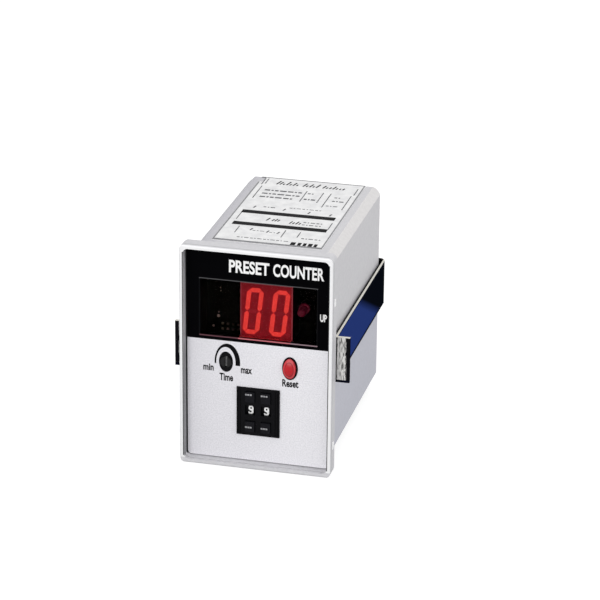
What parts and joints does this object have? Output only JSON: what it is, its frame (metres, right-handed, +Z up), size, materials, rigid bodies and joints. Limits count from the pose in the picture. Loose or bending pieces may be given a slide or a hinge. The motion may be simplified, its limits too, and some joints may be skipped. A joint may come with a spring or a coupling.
{
  "type": "panel counter",
  "caption": "Panel-mount preset counter with a recessed front, red seven-segment display, trimmer, reset button, push-wheel preset switch, screw terminals and a clamping strap.",
  "frame": {"origin": "centre of the panel seat, the plane of the bezel's rear face", "axes": "+X to the viewer's right, +Y back through the panel, +Z up"},
  "size_m": [0.0552, 0.0804, 0.072],
  "materials": {
    "case_plastic": "light grey, fine moulded texture",
    "overlay": "printed film, black above and light grey below",
    "smoked_pane": "dark red clear plastic",
    "display_red": "dark red cast resin",
    "segment_light": "lit red",
    "lamp_red": "clear red lens",
    "black_plastic": "black moulded plastic",
    "button_red": "glossy red moulded plastic",
    "board_green": "green board lacquer",
    "blue_plastic": "blue moulded plastic",
    "grey_plastic": "grey moulded plastic",
    "component_tan": "small ceramic parts",
    "relay_plastic": "ivory moulded plastic",
    "capacitor_sleeve": "dark shrink sleeve",
    "lamination": "varnished steel sheets",
    "winding_tape": "yellow winding tape",
    "plated_steel": "bright plated",
    "strap_steel": "blued spring steel",
    "brass": "turned brass",
    "label_paper": "printed paper label"
  },
  "bodies": {
    "housing": {"front_bezel": "case_plastic", "case": "case_plastic", "front_overlay": "overlay", "display_pane": "smoked_pane", "display_module": "display_red", "dark_segments": "display_red", "lit_segments": "segment_light", "up_lamp": "lamp_red", "lamp_holder": "black_plastic", "trimmer_plate": "black_plastic", "reset_bush": "black_plastic", "end_cap_left": "black_plastic", "end_cap_right": "black_plastic", "switch_body_tens": "black_plastic", "switch_body_ones": "black_plastic", "link_header": "black_plastic", "rear_link_header": "black_plastic", "counter_chip": "black_plastic", "terminal_block_upper": "black_plastic", "terminal_block_lower": "black_plastic", "display_board": "board_green", "main_board": "board_green", "terminal_board": "board_green", "contact_board_tens": "board_green", "contact_board_ones": "board_green", "trimmer_body": "blue_plastic", "reset_switch": "grey_plastic", "display_resistors": "component_tan", "output_relay": "relay_plastic", "filter_capacitors": "capacitor_sleeve", "transformer_core": "lamination", "transformer_coil": "winding_tape", "board_screws": "plated_steel", "tie_rods": "plated_steel", "terminal_cages": "plated_steel", "terminal_screws": "plated_steel", "clamp_insert": "brass", "link_pins": "brass", "rear_link_pins": "brass", "wiring_label": "label_paper"},
    "trimmer": {"trimmer_rotor": "black_plastic"},
    "reset": {"reset_button": "button_red", "reset_plunger": "black_plastic"},
    "wheel_tens": {"digit_wheel_tens": "black_plastic"},
    "wheel_ones": {"digit_wheel_ones": "black_plastic"},
    "plus_tens": {"plus_button_tens": "black_plastic"},
    "minus_tens": {"minus_button_tens": "black_plastic"},
    "plus_ones": {"plus_button_ones": "black_plastic"},
    "minus_ones": {"minus_button_ones": "black_plastic"},
    "strap": {"mounting_strap": "strap_steel"},
    "screw": {"clamp_screw": "plated_steel"}
  },
  "joints": [
    {"name": "trimmer_turn", "type": "hinge", "parent": "housing", "child": "trimmer", "pos_m": [-0.0101, 0, -0.00225], "axis": [0, 1, 0], "range_deg": [-135, 135]},
    {"name": "reset_press", "type": "slide", "parent": "housing", "child": "reset", "axis": [0, 1, 0], "range_m": [0, 0.0012], "stiffness_N_per_m": 1500},
    {"name": "wheel_tens_turn", "type": "hinge", "parent": "housing", "child": "wheel_tens", "pos_m": [-0.0023, 0.00405, -0.0178], "axis": [1, 0, 0], "continuous": true},
    {"name": "plus_tens_press", "type": "slide", "parent": "housing", "child": "plus_tens", "axis": [0, 1, 0], "range_m": [0, 0.001], "stiffness_N_per_m": 800},
    {"name": "minus_tens_press", "type": "slide", "parent": "housing", "child": "minus_tens", "axis": [0, 1, 0], "range_m": [0, 0.001], "stiffness_N_per_m": 800},
    {"name": "wheel_ones_turn", "type": "hinge", "parent": "housing", "child": "wheel_ones", "pos_m": [0.0027, 0.00405, -0.0178], "axis": [1, 0, 0], "continuous": true},
    {"name": "plus_ones_press", "type": "slide", "parent": "housing", "child": "plus_ones", "axis": [0, 1, 0], "range_m": [0, 0.001], "stiffness_N_per_m": 800},
    {"name": "minus_ones_press", "type": "slide", "parent": "housing", "child": "minus_ones", "axis": [0, 1, 0], "range_m": [0, 0.001], "stiffness_N_per_m": 800},
    {"name": "strap_slide", "type": "slide", "parent": "housing", "child": "strap", "axis": [0, 1, 0], "range_m": [-0.0015, 0.004]},
    {"name": "clamp_screw_turn", "type": "hinge", "parent": "strap", "child": "screw", "pos_m": [0, 0.073, 0.0004], "axis": [0, 1, 0], "range_deg": [-771.7, 2057.4]}
  ],
  "couplings": [
    {"joint": "clamp_screw_turn", "follows": "strap_slide", "rad_per_m": 8976}
  ]
}
